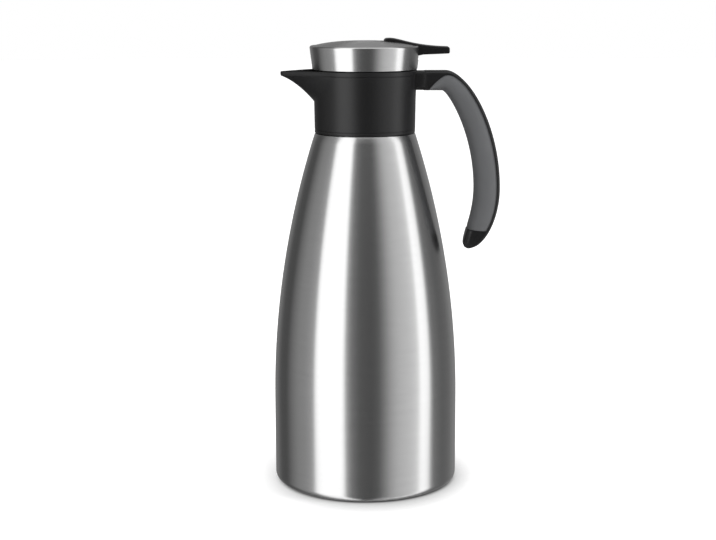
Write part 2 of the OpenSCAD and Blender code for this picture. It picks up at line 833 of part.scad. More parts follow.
module valve_plug() {
    color(BLACK)
        difference() {
            union() {
                translate([0, 0, valve_z]) cylinder(r = valve_d / 2, h = valve_t);
                translate([0, 0, valve_z + valve_t]) cylinder(r = hub_r, h = hub_h);
                translate([0, 0, valve_seal_z - 1]) cylinder(r = valve_boss_r, h = seal_t + 1);
            }
            translate([0, 0, valve_z - 1]) cylinder(r = stem_r, h = valve_t + hub_h + 2);
        }
}

module valve_seal() {
    color(SILICONE) tube(valve_boss_r + seat_gap, valve_d / 2 - 0.5, valve_seal_z, valve_z);
}

module stem_pin() {
    color(STEEL) crossbar(0, pivot_z, cross_pin_r, cross_pin_l);
}

outer_shell();
shell_bottom();
vacuum_seal();
base_cover();
inner_vessel();
getter();
neck_gasket();
collar();
handle_core();
soft_grip();
handle_screw();
lid_seal();
lid_cap();
lid_body();
stopper_cup();
stem_seal();
lever_pin();
valve_spring();
lever();
valve_stem();
valve_plug();
valve_seal();
stem_pin();
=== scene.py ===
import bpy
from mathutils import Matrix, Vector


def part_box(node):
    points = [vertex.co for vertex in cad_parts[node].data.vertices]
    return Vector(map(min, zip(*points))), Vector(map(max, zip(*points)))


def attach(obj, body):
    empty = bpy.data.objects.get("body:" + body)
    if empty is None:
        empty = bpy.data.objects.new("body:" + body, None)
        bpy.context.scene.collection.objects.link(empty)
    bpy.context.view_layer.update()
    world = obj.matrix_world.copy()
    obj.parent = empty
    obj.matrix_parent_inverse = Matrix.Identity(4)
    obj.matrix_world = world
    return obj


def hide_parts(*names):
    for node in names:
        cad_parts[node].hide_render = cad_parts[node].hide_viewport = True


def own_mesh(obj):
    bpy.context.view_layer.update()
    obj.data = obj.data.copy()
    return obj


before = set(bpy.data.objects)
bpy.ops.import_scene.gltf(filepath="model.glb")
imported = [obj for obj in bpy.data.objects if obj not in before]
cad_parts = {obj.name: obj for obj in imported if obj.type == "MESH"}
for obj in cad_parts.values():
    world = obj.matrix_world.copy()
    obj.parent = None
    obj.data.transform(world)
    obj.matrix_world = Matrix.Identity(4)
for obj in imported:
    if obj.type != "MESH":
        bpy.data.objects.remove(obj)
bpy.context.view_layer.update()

from math import asin, atan2, cos, pi, radians, sin, sqrt

import bmesh
import bpy
from bpy.props import FloatProperty, FloatVectorProperty, IntProperty, PointerProperty
from mathutils import Matrix, Vector

bl_info = {
    "name": "Vacuum Jug",
    "version": (1, 0, 0),
    "blender": (4, 5, 0),
    "location": "View3D > Sidebar > Jug",
    "description": "Dresses a steel vacuum jug with its spout, handle and press-lever stopper",
    "category": "Add Mesh",
}

MM = 0.001
ROUND_STEPS = 144      # faces round a turned piece
SAME_PLACE = 1e-7      # points as near as this are one


def length(name, description, millimetres):
    """A size in millimetres, held in metres."""
    return FloatProperty(
        name=name, description=description, default=millimetres * MM, unit="LENGTH", precision=5
    )


def colour(name, description, red, green, blue):
    """A colour as the shader takes it, before any display curve."""
    return FloatVectorProperty(
        name=name, description=description, default=(red, green, blue), size=3, subtype="COLOR", min=0, max=1
    )


class BodySizes(bpy.types.PropertyGroup):
    """Sizes of the steel body and its inner vessel."""

    radius: length("Radius", "Outside radius of the straight lower body", 62.4)
    straight: length("Straight height", "Height at which the taper starts", 57)
    shoulder: length("Shoulder height", "Height of the shoulder's top edge", 239.2)
    shoulder_radius: length("Shoulder radius", "Radius of the shoulder's top edge", 33.6)
    bottom: length("Bottom radius", "Rounding of the bottom edge", 5)
    foot: length("Foot width", "Width of the ring that the jug stands on", 3.4)
    wall: length("Wall", "Wall of the outer shell", 0.6)
    gap: length("Vacuum", "Space between the two walls", 7)
    floor: length("Vessel floor", "Height of the inner vessel's floor", 10)
    corner: length("Vessel corner", "Rounding of the inner vessel's bottom edge", 12)
    neck: length("Neck radius", "Outside radius of the steel neck", 30.5)
    mouth: length("Mouth radius", "Inside radius of the mouth", 26.5)
    lip: length("Lip height", "Height of the steel lip", 252)


class CollarSizes(bpy.types.PropertyGroup):
    """Sizes of the collar and its spout."""

    low: length("Foot height", "Height of the collar's lower edge", 239.5)
    rim: length("Rim height", "Height of the collar's rim", 281.1)
    low_radius: length("Foot radius", "Outside radius at the lower edge", 33.65)
    rim_radius: length("Rim radius", "Outside radius at the rim", 35)
    groove: length("Groove", "Depth of the fine grooves near both edges", 0.22)
    foot_line: length("Foot line", "Height of the lower groove above the lower edge", 2.2)
    rim_line: length("Rim line", "Distance of the upper groove below the rim", 3.2)
    chamber: length("Chamber radius", "Radius of the pouring chamber", 32)
    chamber_low: length("Chamber floor", "Height of the pouring chamber's floor", 266)
    gasket: length("Gasket seat", "Height of the seat that rests on the neck's gasket", 253.2)
    bore: length("Bore radius", "Radius inside the thread", 28.5)
    thread: length("Thread depth", "How far the thread stands out", 0.8)
    reach: length("Spout reach", "Distance of the spout's tip from the axis", 56.3)
    step: length("Spout step", "How far the spout's top lies below the rim", 0.8)
    front: length("Spout front", "Height of the spout's blunt front", 2.8)
    rise: length("Spout rise", "Height of the spout below its front", 17.3)
    tip: length("Tip radius", "Radius of the spout's tip from above", 3.5)
    wall: length("Spout wall", "Wall of the spout", 2)


class HandleSizes(bpy.types.PropertyGroup):
    """Sizes of the handle and its soft grip."""

    reach: length("Reach", "Distance of the outermost point from the axis", 90.3)
    thickness: length("Thickness", "Thickness at the outermost point", 16.8)
    top: length("Top", "Height of the level top", 280.5)
    rise: length("Rise", "Height from the outermost point to the top", 78.7)
    tail: length("Tail", "Height from the outermost point to the tip", 41)
    root: length("Root height", "Height of the root at the collar", 12.7)
    root_width: length("Root width", "Width at the collar", 20)
    width: length("Width", "Width in the hand", 24)
    tip_width: length("Tip width", "Width at the tip", 8)
    grip: length("Grip thickness", "Thickness of the soft grip", 3)
    strip: length("Strip", "Hard strip left along the outer edge", 1.8)
    proud: length("Proud", "How far the grip stands proud of the strip", 0.25)


class LidSizes(bpy.types.PropertyGroup):
    """Sizes of the cap, the lever and the stopper."""

    low: length("Cap foot", "Height of the cap's lower edge", 281.7)
    top: length("Cap top", "Height of the cap's crown", 300.3)
    low_radius: length("Cap foot radius", "Radius of the cap's lower edge", 35)
    flare: length("Flare", "How much wider the cap is at its shoulder", 1.75)
    dome: length("Dome", "Height of the domed top", 3.4)
    edge: length("Edge", "Rounding of the cap's shoulder", 1.3)
    wall: length("Cap wall", "Wall of the steel cap", 0.8)
    slot: length("Slot start", "Distance of the slot's inner end from the axis", 10.6)
    slot_width: length("Slot width", "Width of the lever's slot", 12.8)
    notch: length("Notch", "Height of the slot's lower end in the cap's side", 287.6)
    lever_width: length("Lever width", "Width of the press lever", 12)
    lever_reach: length("Lever reach", "Distance of the lever's outer end from the axis", 56.3)
    lever_bevel: length("Lever rounding", "Rounding of the lever's edges", 0.9)
    pivot_x: length("Pivot", "Distance of the lever's pivot from the axis", 24)
    pivot_z: length("Pivot height", "Height of the lever's pivot", 290)
    press: FloatProperty(
        name="Lever travel", description="How far the lever tips", default=radians(13.5), unit="ROTATION"
    )
    wire: length("Wire", "Radius of the spring's wire", 0.5)
    coil: length("Coil", "Mean radius of the spring", 5.5)
    turns: IntProperty(name="Turns", description="Number of turns of the spring", default=8, min=4, max=12)


class Colours(bpy.types.PropertyGroup):
    """Colours of the jug's materials."""

    steel: colour("Brushed steel", "Outer body and cap", 0.64, 0.64, 0.64)
    vessel: colour("Vessel steel", "Inner vessel and small steel parts", 0.60, 0.60, 0.61)
    plastic: colour("Black plastic", "Collar and handle", 0.006, 0.006, 0.0064)
    lever: colour("Lever plastic", "Press lever", 0.005, 0.005, 0.0054)
    grip: colour("Soft grip", "Grey grip", 0.106, 0.108, 0.112)
    silicone: colour("Silicone", "Rings and washers", 0.55, 0.55, 0.52)
    grey: colour("Grey plastic", "Seal of the vacuum space", 0.2, 0.2, 0.21)


# Outlines and curves.


def curve_point(points, t):
    """A point on a cubic curve with four control points."""
    a, b, c, d = (Vector(p) for p in points)
    return a * (1 - t) ** 3 + b * (3 * t * (1 - t) ** 2) + c * (3 * t * t * (1 - t)) + d * t ** 3


def arc_points(centre, radius, start, end, steps):
    """Points of an arc in a profile, from start to end in degrees."""
    turns = (radians(start + (end - start) * i / steps) for i in range(steps + 1))
    return [(centre[0] + radius * cos(a), centre[1] + radius * sin(a)) for a in turns]


def ease(start, end, t):
    """A value that leaves start and reaches end without a kink, for t from 0 to 1."""
    t = min(1, max(0, t))
    return start + (end - start) * (1 - cos(pi * t)) / 2


# Meshes.


def add_loft(bm, rings, closed=False):
    """A ring of edges pulled from ring to ring, with a cap at both ends or back to the first ring."""
    first = [bm.verts.new(point) for point in rings[0]]
    edges = [bm.edges.new((first[i - 1], first[i])) for i in range(len(first))]
    if not closed:
        bmesh.ops.edgeloop_fill(bm, edges=edges)
    for ring in rings[1:] + (rings[:1] if closed else []):
        grown = bmesh.ops.extrude_edge_only(bm, edges=edges)["geom"]
        edges = [part for part in grown if isinstance(part, bmesh.types.BMEdge)]
        moved = [part for part in grown if isinstance(part, bmesh.types.BMVert)]
        for vert, point in zip(moved, ring):
            vert.co = point
    if closed:
        bmesh.ops.remove_doubles(bm, verts=first + moved, dist=SAME_PLACE)
    else:
        bmesh.ops.edgeloop_fill(bm, edges=edges)
    bmesh.ops.recalc_face_normals(bm, faces=bm.faces)


def add_lathe(bm, profile, closed=True, steps=ROUND_STEPS):
    """A profile of (radius, height) turned about the jug's axis."""
    verts = [bm.verts.new((r, 0, z)) for r, z in profile]
    pairs = list(zip(verts, verts[1:])) + ([(verts[-1], verts[0])] if closed else [])
    edges = [bm.edges.new(pair) for pair in pairs]
    bmesh.ops.spin(
        bm, geom=verts + edges, axis=(0, 0, 1), cent=(0, 0, 0), angle=2 * pi, steps=steps, use_merge=True
    )
    bmesh.ops.remove_doubles(bm, verts=bm.verts, dist=SAME_PLACE)
    bmesh.ops.recalc_face_normals(bm, faces=bm.faces)


def add_helix(bm, radius, wire, low, high, turns, sides=8, per_turn=32, flat=None):
    """An unbroken tube that climbs round the axis. A flat one is a thread, and thins out at both ends."""
    count = int(turns * per_turn)
    slope = atan2(high - low, 2 * pi * radius * turns)
    rings = []
    for i in range(count + 1):
        a = 2 * pi * turns * i / count
        out = Vector((cos(a), sin(a), 0))
        up = Vector((sin(a) * sin(slope), -cos(a) * sin(slope), cos(slope)))
        middle = out * radius + Vector((0, 0, low + (high - low) * i / count))
        fade = min(1, 0.15 + 6 * min(i, count - i) / per_turn) if flat else 1
        turned = [2 * pi * k / sides for k in range(sides)]
        rings.append([middle + wire * fade * (out * cos(b) + up * ((flat or 1) * sin(b))) for b in turned])
    add_loft(bm, rings)


def piece(name, bm, body, finish, replaces=(), sharp=35):
    """A finished object that rides on a body."""
    mesh = bpy.data.meshes.new(name)
    bm.to_mesh(mesh)
    bm.free()
    mesh.shade_smooth()
    mesh.set_sharp_from_angle(angle=radians(sharp))
    obj = bpy.data.objects.new(name, mesh)
    bpy.context.scene.collection.objects.link(obj)
    mesh.materials.append(finish.material)
    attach(obj, body)
    if replaces:
        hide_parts(*replaces)
    return obj


def dress(node, finish):
    """Gives a CAD node its material."""
    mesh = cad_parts[node].data
    mesh.materials.clear()
    mesh.materials.append(finish.material)


# Materials.


class Value:
    """A node's output that takes part in Python expressions."""

    def __init__(self, nodes, socket):
        self.nodes = nodes
        self.socket = socket

    def __add__(self, other):
        return self.nodes.math("ADD", self, other)

    __radd__ = __add__

    def __sub__(self, other):
        return self.nodes.math("SUBTRACT", self, other)

    def __rsub__(self, other):
        return self.nodes.math("SUBTRACT", other, self)

    def __mul__(self, other):
        return self.nodes.math("MULTIPLY", self, other)

    __rmul__ = __mul__

    def __truediv__(self, other):
        return self.nodes.math("DIVIDE", self, other)

    def __pow__(self, other):
        return self.nodes.math("POWER", self, other)


class Nodes:
    """A node tree of a material or of the world."""

    def __init__(self, tree):
        self.tree = tree

    def node(self, kind, settings=(), inputs=()):
        """Any node: its settings first, then the values or links of its sockets."""
        node = self.tree.nodes.new(kind)
        for name, value in dict(settings).items():
            setattr(node, name, value)
        for name, value in dict(inputs).items():
            self.feed(node.inputs[name], value)
        return node

    def value(self, kind, settings=(), inputs=(), output=0):
        """One output of a new node."""
        return Value(self, self.node(kind, settings, inputs).outputs[output])

    def feed(self, socket, value):
        """Links a socket to a value, or sets it to a number."""
        if isinstance(value, Value):
            self.tree.links.new(value.socket, socket)
        else:
            socket.default_value = value

    def math(self, operation, *terms):
        """A Math node on numbers and values."""
        return self.value("ShaderNodeMath", {"operation": operation}, enumerate(terms))

    def seen(self):
        """One where the camera looks, also in a reflection or through glass, and zero where light falls."""
        path = self.node("ShaderNodeLightPath")
        camera, glossy, through = (
            Value(self, path.outputs["Is " + ray + " Ray"]) for ray in ("Camera", "Glossy", "Transmission")
        )
        return self.math("MINIMUM", 1, camera + glossy + through)


class Finish(Nodes):
    """A material on the Principled shader. The slot of the record that it takes is not used."""

    def __init__(self, name, slot=None, **constants):
        self.slot = slot
        self.material = bpy.data.materials.new(name)
        self.material.use_nodes = True
        super().__init__(self.material.node_tree)
        self.shader = self.tree.nodes["Principled BSDF"]
        for socket, value in constants.items():
            self.shader.inputs[socket.replace("_", " ")].default_value = value

    def place(self):
        """The object's own coordinates as three numbers."""
        source = self.value("ShaderNodeTexCoord", output="Object")
        parts = self.node("ShaderNodeSeparateXYZ", (), {0: source})
        return [Value(self, out) for out in parts.outputs]

    def point(self, x, y, z):
        return self.value("ShaderNodeCombineXYZ", (), {0: x, 1: y, 2: z})

    def noise(self, point, scale, detail=2.0, roughness=0.5):
        settings = {"Vector": point, "Scale": scale, "Detail": detail, "Roughness": roughness}
        return self.value("ShaderNodeTexNoise", (), settings)

    def blend(self, factor, first, second):
        """A colour between two colours."""
        inputs = {0: factor, 6: (*first, 1), 7: (*second, 1)}
        return self.value("ShaderNodeMix", {"data_type": "RGBA"}, inputs, 2)

    def set(self, socket, value):
        """Feeds one of the shader's sockets."""
        self.feed(self.shader.inputs[socket], value)

    def bump(self, height, strength, distance):
        inputs = {"Strength": strength, "Distance": distance, "Height": height}
        self.set("Normal", self.value("ShaderNodeBump", (), inputs))


def shaded(base, factor):
    """The same colour, darker or lighter."""
    return tuple(min(1, c * factor) for c in base)


FINISHES = {}


def brushed_steel(name, slot, base, rough, grain):
    """Steel with fine brushing round the axis, in streaks that change fast only across the brushing."""
    fine_lines, broad_lines = 2600, 260
    steel = Finish(name, slot, Metallic=1.0, Anisotropic=0.9, Anisotropic_Rotation=0.25)
    x, y, z = steel.place()
    around = steel.math("ARCTAN2", y, x)
    across = z - steel.math("SQRT", x * x + y * y)
    fine = steel.noise(steel.point(around * 1.5, across * fine_lines, 0.0), 1.0, 3.0, 0.7)
    broad = steel.noise(steel.point(around * 2.5, across * broad_lines, 4.0), 1.0, 2.0, 0.6)
    cloud = steel.noise(steel.point(x * 9, y * 9, z * 9), 1.0, 1.0, 0.4)
    streak = fine * 0.65 + broad * 0.35
    steel.set("Base Color", steel.blend(streak, shaded(base, 0.90), shaded(base, 1.10)))
    steel.set("Roughness", rough - grain / 2 + streak * grain + cloud * 0.03)
    steel.bump(fine, 0.05, 0.04 * MM)
    return steel


def vessel_steel(name, slot, base):
    """Satin steel of the inner vessel and the small parts."""
    cloud_scale, grain_scale = 60, 1800
    steel = Finish(name, slot, Metallic=1.0)
    x, y, z = steel.place()
    cloud = steel.noise(steel.point(x, y, z), cloud_scale, 3.0, 0.6)
    grain = steel.noise(steel.point(x, y, z), grain_scale, 2.0, 0.6)
    steel.set("Base Color", steel.blend(cloud, shaded(base, 0.92), shaded(base, 1.06)))
    steel.set("Roughness", 0.26 + cloud * 0.10)
    steel.bump(grain, 0.06, 0.03 * MM)
    return steel


def moulded(name, slot, base, rough, grain, size, bump):
    """Moulded plastic or rubber: a fine spark-eroded grain of some size, and faint cloudiness."""
    cloud_scale = 45
    plastic = Finish(name, slot, Specular_IOR_Level=0.5)
    spot = plastic.point(*plastic.place())
    fine = plastic.noise(spot, 1 / size, 2.0, 0.6)
    cloud = plastic.noise(spot, cloud_scale, 2.0, 0.5)
    plastic.set("Base Color", plastic.blend(cloud, shaded(base, 0.88), shaded(base, 1.12)))
    plastic.set("Roughness", rough - grain / 2 + fine * grain * 0.6 + cloud * grain * 0.4)
    plastic.bump(fine, bump, size * 0.25)
    return plastic


class JUG_OT_finishes(bpy.types.Operator):
    """Makes the materials from the colours"""

    bl_idname = "jug.finishes"
    bl_label = "Materials"

    def execute(self, context):
        c = context.scene.jug_colours
        FINISHES["steel"] = brushed_steel("Brushed steel", "brushed_steel", c.steel, 0.23, 0.06)
        FINISHES["vessel"] = vessel_steel("Vessel steel", "plain_steel", c.vessel)
        FINISHES["plastic"] = moulded("Black plastic", "black_plastic", c.plastic, 0.36, 0.12, 0.5 * MM, 0.25)
        FINISHES["lever"] = moulded("Lever plastic", "black_lever", c.lever, 0.30, 0.10, 0.4 * MM, 0.15)
        FINISHES["grip"] = moulded("Soft grip", "grey_grip", c.grip, 0.62, 0.14, 0.6 * MM, 0.40)
        FINISHES["silicone"] = moulded("Silicone", "silicone", c.silicone, 0.5, 0.10, 0.8 * MM, 0.15)
        FINISHES["grey"] = moulded("Grey plastic", "grey_plastic", c.grey, 0.45, 0.10, 0.5 * MM, 0.2)
        return {"FINISHED"}


# Steel body.


def side_radius(s, z, inset):
    """Radius of the body's side at height z, moved inwards."""
    drop = s.radius - s.shoulder_radius
    rise = s.shoulder - s.straight
    big = (drop * drop + rise * rise) / (2 * drop)
    if z <= s.straight:
        return s.radius - inset
    return s.radius - big + sqrt((big - inset) ** 2 - (z - s.straight) ** 2)


def side_points(s, low, high, inset, steps=40):
    """The body's side in a profile, from one height to another."""
    heights = (low + (high - low) * i / steps for i in range(steps + 1))
    return [(side_radius(s, z, inset), z) for z in heights]


def side_height(s, radius, inset):
    """Height at which the inset side has this radius."""
    low, high = s.straight, s.shoulder
    for _ in range(40):
        middle = (low + high) / 2
        low, high = (middle, high) if side_radius(s, middle, inset) > radius else (low, middle)
    return low


class JUG_OT_body(bpy.types.Operator):
    """Makes the outer shell and the inner vessel"""

    bl_idname = "jug.body"
    bl_label = "Steel body"

    def execute(self, context):
        s = context.scene.jug_body
        self.make_shell(s)
        self.make_vessel(s)
        for node in ("shell_bottom", "getter", "handle_screw"):
            dress(node, FINISHES["vessel"])
        dress("vacuum_seal", FINISHES["grey"])
        dress("base_cover", FINISHES["plastic"])
        dress("neck_gasket", FINISHES["silicone"])
        return {"FINISHED"}

    def make_shell(self, s):
        """The outer wall from the foot ring up to the lip, outside first and then back down inside."""
        foot = s.radius - s.bottom
        top = s.lip - s.wall
        edge = 0.5 * MM
        outside = [(foot - s.foot, 0)] + arc_points((foot, s.bottom), s.bottom, -90, 0, 10)
        outside += side_points(s, s.straight, s.shoulder - edge, 0)
        outside += [(s.shoulder_radius - edge * 0.3, s.shoulder - edge * 0.2)]
        outside += [(s.shoulder_radius - edge, s.shoulder), (s.neck, s.shoulder), (s.neck, top)]
        inside = [(s.neck - s.wall, top), (s.neck - s.wall, s.shoulder - s.wall)]
        inside += reversed(side_points(s, s.straight, s.shoulder - s.wall, s.wall))
        inside += arc_points((foot, s.bottom), s.bottom - s.wall, 0, -90, 10)
        inside += [(foot - s.foot, s.wall)]
        bm = bmesh.new()
        add_lathe(bm, outside + inside)
        piece("steel_shell", bm, "jug", FINISHES["steel"], ["outer_shell"])

    def make_vessel(self, s):
        """The inner wall, which meets the outer one at the rolled lip."""
        inset = s.wall + s.gap
        wall = 0.5 * MM
        corner = (s.radius - inset - s.corner, s.floor + s.corner)
        neck = s.mouth + wall
        outside = [(0, s.floor)] + arc_points(corner, s.corner, -90, 0, 12)
        outside += side_points(s, s.straight, side_height(s, neck, inset), inset)
        outside += [(neck, s.lip - s.wall), (s.neck, s.lip - s.wall)]
        outside += arc_points((s.neck - s.wall / 2, s.lip - s.wall / 2), s.wall / 2, 0, 90, 3)
        inside = arc_points((s.mouth + s.wall, s.lip - s.wall), s.wall, 90, 180, 4)
        inside += reversed(side_points(s, s.straight, side_height(s, s.mouth, inset + wall), inset + wall))
        inside += arc_points(corner, s.corner - wall, 0, -90, 12)
        inside += [(0, s.floor + wall)]
        bm = bmesh.new()
        add_lathe(bm, outside + inside, closed=False)
        piece("inner_wall", bm, "jug", FINISHES["vessel"], ["inner_vessel"])


# Collar and spout.


def beak_radius(turn, big, tip_x, tip):
    """Radius of a circle with a beak, at an angle from the spout's direction.

    The beak is a small circle round the tip, joined to the big one by two tangents.
    """
    if tip_x <= big + 1e-6:
        return big
    turn = abs(turn)
    middle = tip_x - tip
    lean = asin(min(1, (big - tip) / middle))
    spread = pi / 2 - lean
    corner = atan2(tip * sin(spread), middle + tip * cos(spread))
    if turn <= corner:
        return middle * cos(turn) + sqrt(max(0, tip * tip - (middle * sin(turn)) ** 2))
    if turn < spread:
        return big / cos(spread - turn)
    return big


def beak_turns(steps=72, crowd=1.7):
    """Angles from the spout's direction, closer together near the tip."""
    half = [pi * (i / steps) ** crowd for i in range(steps + 1)]
    return half + [-a for a in reversed(half[1:-1])]


class JUG_OT_collar(bpy.types.Operator):
    """Makes the collar with its spout and thread"""

    bl_idname = "jug.collar"
    bl_label = "Collar"

    EDGE = 0.5 * MM                 # rounding at the rim and at the foot
    GROOVE_HALF = 0.3 * MM          # half the width of a groove
    ROOT_TIP = 12 * MM              # tip radius of the spout where it leaves the wall
    WAIST_SWELL = 0.35 * MM         # how much the wall widens up to half its height
    SLEEVE = 2.85 * MM              # from the foot's outside in to the sleeve over the neck
    THREAD = (10.5 * MM, 2 * MM)    # both ends of the thread, below the chamber's floor
    THREAD_TURNS = 2
    LEVELS = 30
    CHAMBER_LEVELS = 15

    def execute(self, context):
        s = context.scene.jug_collar
        bm = bmesh.new()
        add_loft(bm, self.outside(s) + self.inside(s), closed=True)
        piece("collar_moulding", bm, "jug", FINISHES["plastic"], ["collar"], sharp=40)
        self.make_thread(s)
        return {"FINISHED"}

    def spout_line(self, s):
        """The spout's keel from the side, from the collar's wall up to the front."""
        front = s.rim - s.step - s.front
        return [
            (s.low_radius + 0.2 * MM, front - s.rise),
            (s.low_radius + s.rise * 0.36, front - s.rise * 0.6),
            (s.reach - (s.reach - s.rim_radius) * 0.41, front - s.rise * 0.18),
            (s.reach, front),
        ]

    def tip_at(self, s, z):
        """Distance of the spout's tip from the axis, and its radius, at height z."""
        line = self.spout_line(s)
        if z <= line[0][1]:
            return 0, s.tip
        low, high = 0, 1
        for _ in range(30):
            middle = (low + high) / 2
            low, high = (middle, high) if curve_point(line, middle)[1] < z else (low, middle)
        return curve_point(line, low)[0], self.ROOT_TIP + (s.tip - self.ROOT_TIP) * low

    def wall_radius(self, s, z):
        """Outside radius of the collar without its spout."""
        middle = s.low + (s.rim - s.low) / 2
        middle_radius = s.low_radius + self.WAIST_SWELL
        if z < middle:
            return s.low_radius + (middle_radius - s.low_radius) * (z - s.low) / (middle - s.low)
        return middle_radius + (s.rim_radius - middle_radius) * ((z - middle) / (s.rim - middle)) ** 1.4

    def ring(self, s, z, big, tip_x, tip, droop=0.0):
        """One level of the collar. Droop lowers the spout's tip."""
        points = []
        for turn in beak_turns():
            r = beak_radius(turn, big, tip_x, tip)
            reach = max(0, r - big) / max(1e-6, s.reach - s.rim_radius)
            points.append((-r * cos(turn), r * sin(turn), z - droop * min(1, reach)))
        return points

    def droop(self, s, z):
        """How far the spout's tip lies below this level of the collar."""
        return s.step * max(0, 1 - (s.rim - z) / (s.front + s.step))

    def inset(self, s, z, grooves):
        """How far the rounded edges and the grooves lie inside the wall at height z."""
        edge = self.EDGE
        inset = edge * max(0, 1 - (z - s.low) / edge) ** 2 + edge * max(0, 1 - (s.rim - z) / edge) ** 2
        return inset + s.groove * any(abs(z - groove) < self.GROOVE_HALF for groove in grooves)

    def outside(self, s):
        """The wall from its foot to its rim, with the spout, the two grooves and the rounded edges."""
        edge = self.EDGE
        grooves = (s.low + s.foot_line, s.rim - s.rim_line)
        heights = [s.low + edge * k for k in (0, 0.35, 1)]
        heights += [groove + k * self.GROOVE_HALF for groove in grooves for k in (-1.2, -0.5, 0.5, 1.2)]
        heights += [s.low + (s.rim - s.low) * i / self.LEVELS for i in range(2, self.LEVELS - 2)]
        heights += [s.rim - 1.6 * MM, s.rim - 1.0 * MM, s.rim - edge, s.rim - edge * 0.3, s.rim]
        rings = []
        for z in sorted(heights):
            tip_x, tip = self.tip_at(s, z)
            inset = self.inset(s, z, grooves)
            big = self.wall_radius(s, z) - inset
            rings.append(self.ring(s, z, big, tip_x - inset, tip, self.droop(s, z)))
        return rings

    def inside(self, s):
        """The pouring chamber with the spout's channel, then the bore and the sleeve over the neck."""
        chamfer = 0.3 * MM
        top = s.rim - 0.15 * MM
        high = s.rim - 0.7 * MM
        droop = self.droop(s, top)
        rings = [self.ring(s, top, s.chamber + chamfer, s.reach - s.wall + chamfer, s.tip - 1.4 * MM, droop)]
        for i in range(self.CHAMBER_LEVELS + 1):
            z = high - (high - s.chamber_low) * i / self.CHAMBER_LEVELS
            tip_x, tip = self.tip_at(s, z - s.wall)
            rings.append(self.ring(s, z, s.chamber, tip_x - s.wall, max(1.6 * MM, tip - s.wall)))
        bore = s.bore + s.thread
        sleeve = s.low_radius - self.SLEEVE
        near = 1 * MM
        steps = [(bore, z) for z in (s.chamber_low, s.chamber_low - near, s.gasket + near, s.gasket)]
        steps += [(sleeve, z) for z in (s.gasket, s.low + near, s.low)]
        return rings + [self.ring(s, z, r, 0, s.tip) for r, z in steps]

    def make_thread(self, s):
        """The thread in the bore. Half of it lies in the wall."""
        low, high = (s.chamber_low - drop for drop in self.THREAD)
        radius, wire = s.bore + s.thread, s.thread * 0.97
        bm = bmesh.new()
        add_helix(bm, radius, wire, low, high, self.THREAD_TURNS, sides=6, per_turn=48, flat=1.3)
        piece("bore_thread", bm, "jug", FINISHES["plastic"])


# Handle.


class HandleLine:
    """The handle's outer and inner outlines, as points that share a parameter from 0 to 3.

    The root runs from 0 to 1, the bend down to the outermost point from 1 to 2, and the tail from 2 to 3.
    """

    SOCKET = 2.7 * MM               # how far the root goes into the collar
    ROOT_LENGTH = 18.9 * MM         # from the rim to the bend
    SAG = 0.2 * MM                  # how much lower the root is at the bend, underneath
    TIP_IN = (21 * MM, 5.6 * MM)    # from the outermost points in to the ends of both outlines
    END = 3
    WIDEST = 1.8

    def __init__(self, s, rim_radius):
        self.s = s
        waist = s.top - s.rise
        inner = s.reach - s.thickness
        root_end = rim_radius + self.ROOT_LENGTH
        root_low = s.top - s.root
        low = root_low - self.SAG
        tip = waist - s.tail
        start = rim_radius - self.SOCKET
        self.root = ((start, s.top), (start, root_low))
        self.outer = self.curves(
            [(root_end, s.top), (root_end + 15.3 * MM, s.top), (s.reach, waist + s.rise * 0.53)],
            (s.reach, waist),
            [(s.reach, waist - s.tail * 0.525), (s.reach - 10.3 * MM, tip - 0.6 * MM)],
            (s.reach - self.TIP_IN[0], tip - 0.2 * MM),
        )
        self.inner = self.curves(
            [(root_end - 2.4 * MM, low), (root_end + 1.2 * MM, low), (inner, waist + s.rise * 0.478)],
            (inner, waist),
            [(inner, waist - s.tail * 0.551), (inner - 10.9 * MM, tip + 3.6 * MM)],
            (inner - self.TIP_IN[1], tip + 0.6 * MM),
        )

    def curves(self, bend, outermost, tail, tip):
        """The bend's and the tail's control points, which share the outermost point."""
        return [bend + [outermost], [outermost] + tail + [tip]]

    def at(self, side, t):
        """The point at t on the outer or the inner outline."""
        root, curves = (self.root[0], self.outer) if side == "outer" else (self.root[1], self.inner)
        if t <= 1:
            return Vector(root).lerp(Vector(curves[0][0]), t)
        return curve_point(curves[0], t - 1) if t <= 2 else curve_point(curves[1], t - 2)

    def depth(self, t):
        """Thickness of the handle at t, from the inner to the outer outline."""
        return (self.at("outer", t) - self.at("inner", t)).length

    def width(self, t):
        """Width of the handle at t: it widens into the hand and narrows to the tip."""
        s = self.s
        past = t - self.WIDEST
        if past <= 0:
            return ease(s.root_width, s.width, 1 + past)
        return s.width - (s.width - s.tip_width) * (past / (self.END - self.WIDEST)) ** 2.2

    def grip_depth(self, t):
        """Depth of the grip's bed at t. It grows from nothing in the root to all but the strip."""
        return (self.depth(t) - self.s.strip) * sin(pi / 2 * min(1, max(0, (t - 0.5) / 0.65)))

    def place(self, t, ring, scale=1.0):
        """A ring of (depth, side) points on the section at t."""
        low = self.at("inner", t)
        across = (self.at("outer", t) - low).normalized()
        middle = self.depth(t) / 2
        points = []
        for depth, side in ring:
            p = low + across * (middle + (depth - middle) * scale)
            points.append((p[0], side * scale, p[1]))
        return points


def mirrored(half):
    """A closed ring from its half with side above zero."""
    return half + [(depth, -side) for depth, side in reversed(half)]


def corner_points(depth, side, radius, towards, steps=5):
    """A rounded corner of a section. Towards is 1 for the outer edge and -1 for the inner one."""
    turns = (pi / 2 * i / steps for i in range(steps + 1))
    if towards > 0:
        return [(depth - radius + radius * sin(a), side - radius + radius * cos(a)) for a in turns]
    return [(depth + radius - radius * cos(a), side - radius + radius * sin(a)) for a in turns]


